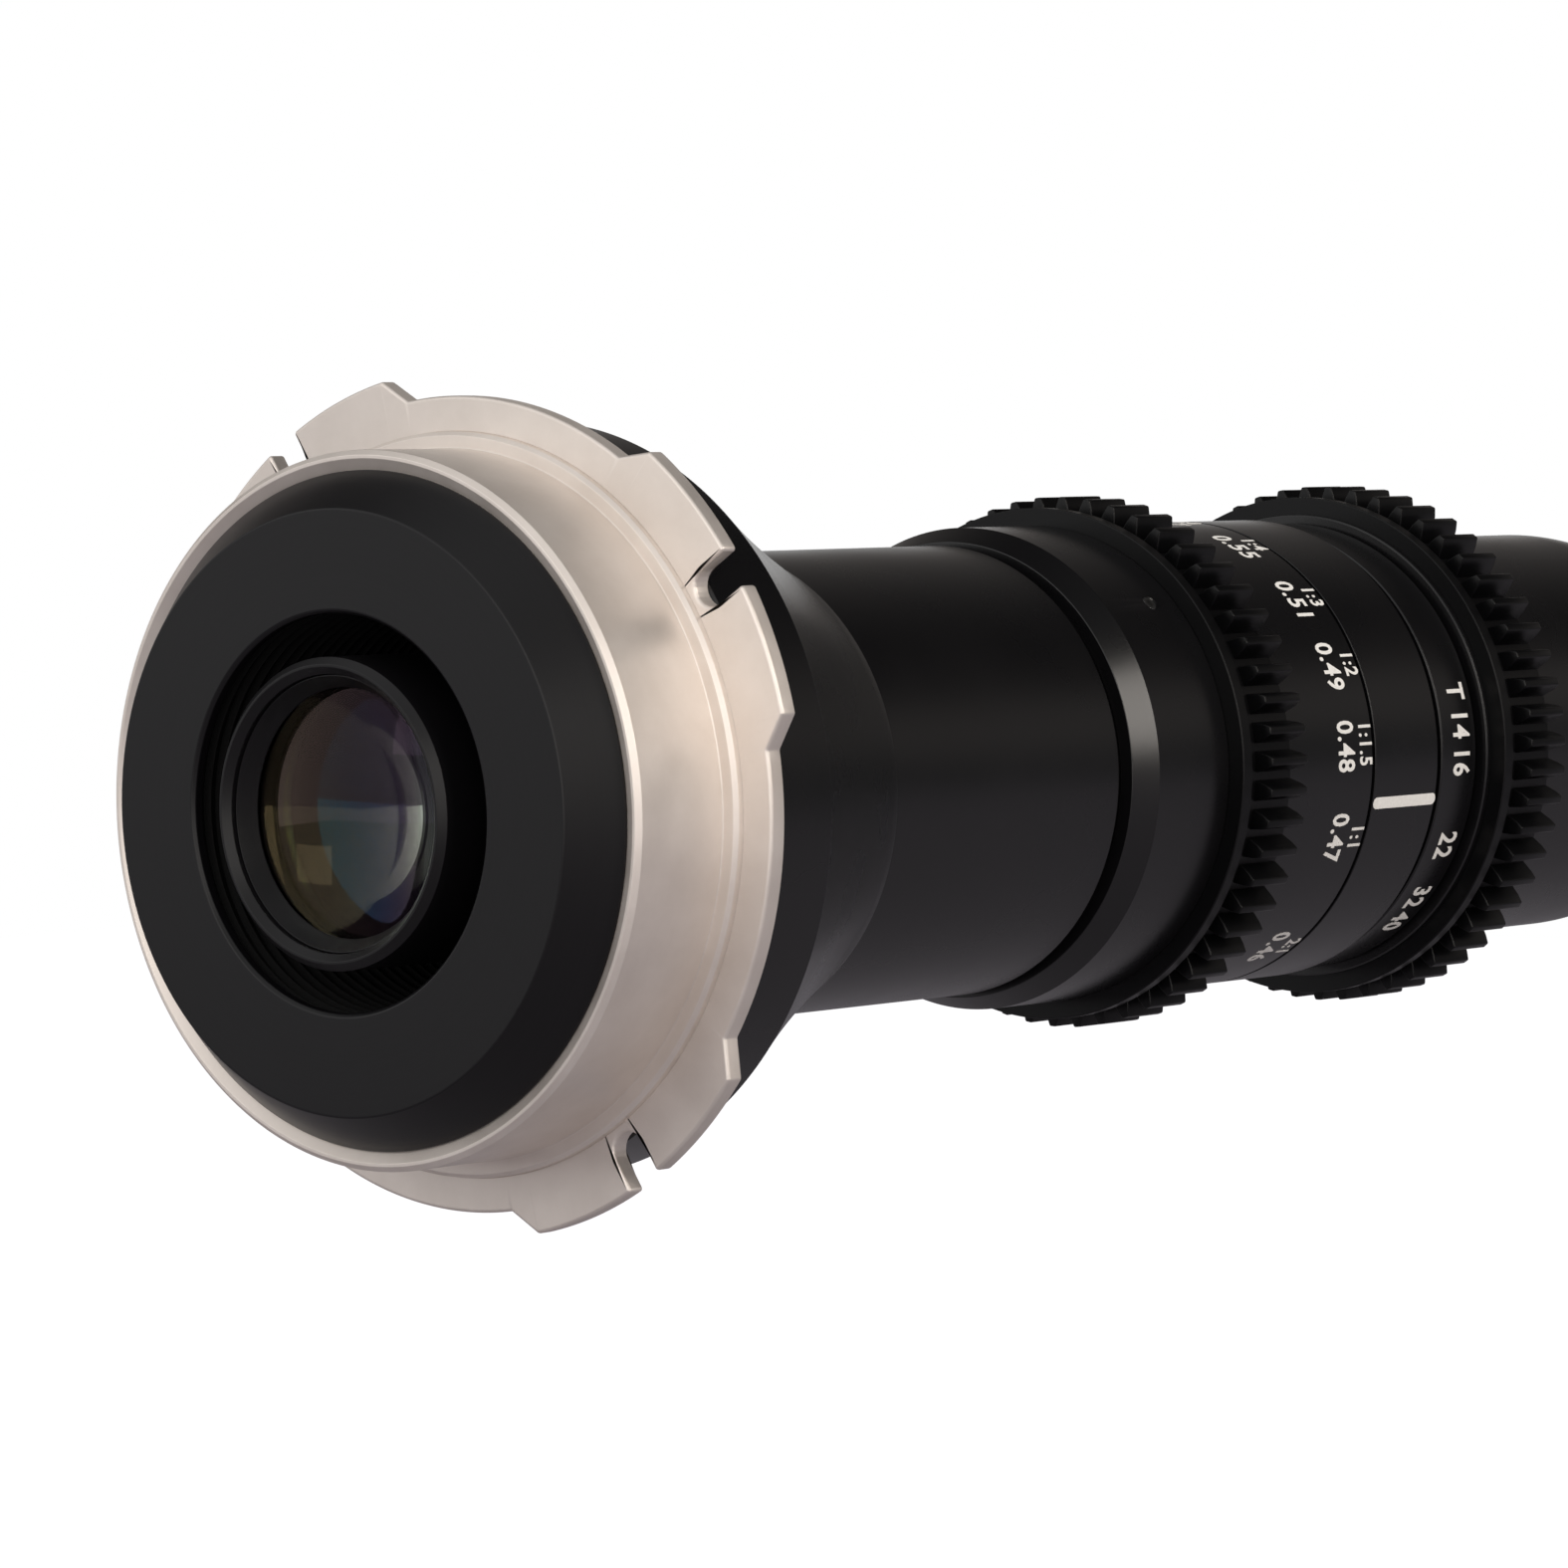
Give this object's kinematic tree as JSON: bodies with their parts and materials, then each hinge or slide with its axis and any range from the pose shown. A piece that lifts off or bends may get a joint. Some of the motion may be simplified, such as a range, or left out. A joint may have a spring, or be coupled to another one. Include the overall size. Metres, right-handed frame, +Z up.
{
  "type": "probe macro lens",
  "caption": "Long probe macro lens for a bayonet-mount cinema camera, with geared focus and iris rings, a distance scale and a lit, sealed tip.",
  "frame": {"origin": "centre of the mount flange's seat, the plane that rests on the camera", "axes": "+Y along the optical axis towards the subject, +Z up in use, +X to the right of someone who looks along +Y"},
  "size_m": [0.0646, 0.401, 0.0646],
  "materials": {
    "mount_nickel": "satin nickel plate",
    "black_anodised": "satin black anodised",
    "baffle_black": "matt black",
    "coated_glass": "coated",
    "brass": "turned",
    "screw_steel": "plain",
    "blade_steel": "dry black",
    "seal_rubber": "matt",
    "board_green": "lacquered",
    "light_white": "clear over yellow",
    "window_milky": "milky",
    "socket_black": "moulded",
    "wire_red": "insulated",
    "white_paint": "filled paint"
  },
  "bodies": {
    "lens_barrel": {"mount_ring": "mount_nickel", "mount_screws": "screw_steel", "rear_guard_ring": "black_anodised", "rear_baffle": "baffle_black", "mount_cone": "black_anodised", "rear_barrel": "black_anodised", "barrel_screws": "screw_steel", "guide_barrel": "black_anodised", "rear_lens_cell": "black_anodised", "rear_retaining_ring": "black_anodised", "rear_lens": "coated_glass", "rear_spacer_ring": "baffle_black", "rear_second_lens": "coated_glass", "thrust_washers": "socket_black", "index_ring": "black_anodised", "index_mark": "white_paint", "iris_housing": "baffle_black", "iris_base_plate": "baffle_black", "iris_cover_ring": "baffle_black", "front_barrel": "black_anodised", "relay_holder": "baffle_black", "relay_tube": "black_anodised", "relay_lenses": "coated_glass", "relay_spacers": "baffle_black", "probe_tube": "black_anodised", "tube_supports": "baffle_black", "seal_rings": "seal_rubber", "tip_housing": "black_anodised", "led_board": "board_green", "leds": "light_white", "light_window": "window_milky", "front_cell": "black_anodised", "front_retaining_ring": "baffle_black", "front_second_lens": "coated_glass", "front_lens": "coated_glass", "power_socket_shell": "screw_steel", "power_socket_tongue": "socket_black", "power_board": "board_green", "led_wires": "wire_red"},
    "focus_ring": {"focus_sleeve": "black_anodised", "focus_gear": "black_anodised", "distance_scale": "black_anodised", "sleeve_screws": "screw_steel", "cam_barrel": "black_anodised"},
    "lens_carrier": {"focus_carrier": "black_anodised", "cam_followers": "brass", "focus_lens_rear": "coated_glass", "focus_lens_front": "coated_glass", "focus_keeper_rings": "baffle_black"},
    "aperture_ring": {"iris_ring": "black_anodised", "iris_gear": "black_anodised", "iris_drive_plate": "blade_steel", "iris_drive_pin": "screw_steel"},
    "blade_1": {"iris_blade_1": "blade_steel"},
    "blade_2": {"iris_blade_2": "blade_steel"},
    "blade_3": {"iris_blade_3": "blade_steel"},
    "blade_4": {"iris_blade_4": "blade_steel"},
    "blade_5": {"iris_blade_5": "blade_steel"},
    "blade_6": {"iris_blade_6": "blade_steel"},
    "blade_7": {"iris_blade_7": "blade_steel"}
  },
  "joints": [
    {"name": "focus_turn", "type": "hinge", "parent": "lens_barrel", "child": "focus_ring", "pos_m": [0, 0.076, 0], "axis": [0, 1, 0], "range_deg": [-47.5, 142.5]},
    {"name": "focus_slide", "type": "slide", "parent": "lens_barrel", "child": "lens_carrier", "axis": [0, 1, 0], "range_m": [-0.00713, 0.00238]},
    {"name": "iris_turn", "type": "hinge", "parent": "lens_barrel", "child": "aperture_ring", "pos_m": [0, 0.11, 0], "axis": [0, 1, 0], "range_deg": [-38.5, 17.5]},
    {"name": "blade_1_turn", "type": "hinge", "parent": "lens_barrel", "child": "blade_1", "pos_m": [0.00748, 0.1074, -0.00938], "axis": [0, 1, 0], "range_deg": [-12.04, 5.48]},
    {"name": "blade_2_turn", "type": "hinge", "parent": "lens_barrel", "child": "blade_2", "pos_m": [-0.00267, 0.1074, -0.0117], "axis": [0, 1, 0], "range_deg": [-12.04, 5.48]},
    {"name": "blade_3_turn", "type": "hinge", "parent": "lens_barrel", "child": "blade_3", "pos_m": [-0.01081, 0.1074, -0.00521], "axis": [0, 1, 0], "range_deg": [-12.04, 5.48]},
    {"name": "blade_4_turn", "type": "hinge", "parent": "lens_barrel", "child": "blade_4", "pos_m": [-0.01081, 0.1074, 0.00521], "axis": [0, 1, 0], "range_deg": [-12.04, 5.48]},
    {"name": "blade_5_turn", "type": "hinge", "parent": "lens_barrel", "child": "blade_5", "pos_m": [-0.00267, 0.1074, 0.0117], "axis": [0, 1, 0], "range_deg": [-12.04, 5.48]},
    {"name": "blade_6_turn", "type": "hinge", "parent": "lens_barrel", "child": "blade_6", "pos_m": [0.00748, 0.1074, 0.00938], "axis": [0, 1, 0], "range_deg": [-12.04, 5.48]},
    {"name": "blade_7_turn", "type": "hinge", "parent": "lens_barrel", "child": "blade_7", "pos_m": [0.012, 0.1074, 0], "axis": [0, 1, 0], "range_deg": [-12.04, 5.48]}
  ],
  "couplings": [
    {"joint": "focus_slide", "follows": "focus_turn", "m_per_rad": -0.0028648},
    {"joint": "blade_1_turn", "follows": "iris_turn", "ratio": 0.3125},
    {"joint": "blade_2_turn", "follows": "iris_turn", "ratio": 0.3125},
    {"joint": "blade_3_turn", "follows": "iris_turn", "ratio": 0.3125},
    {"joint": "blade_4_turn", "follows": "iris_turn", "ratio": 0.3125},
    {"joint": "blade_5_turn", "follows": "iris_turn", "ratio": 0.3125},
    {"joint": "blade_6_turn", "follows": "iris_turn", "ratio": 0.3125},
    {"joint": "blade_7_turn", "follows": "iris_turn", "ratio": 0.3125}
  ]
}
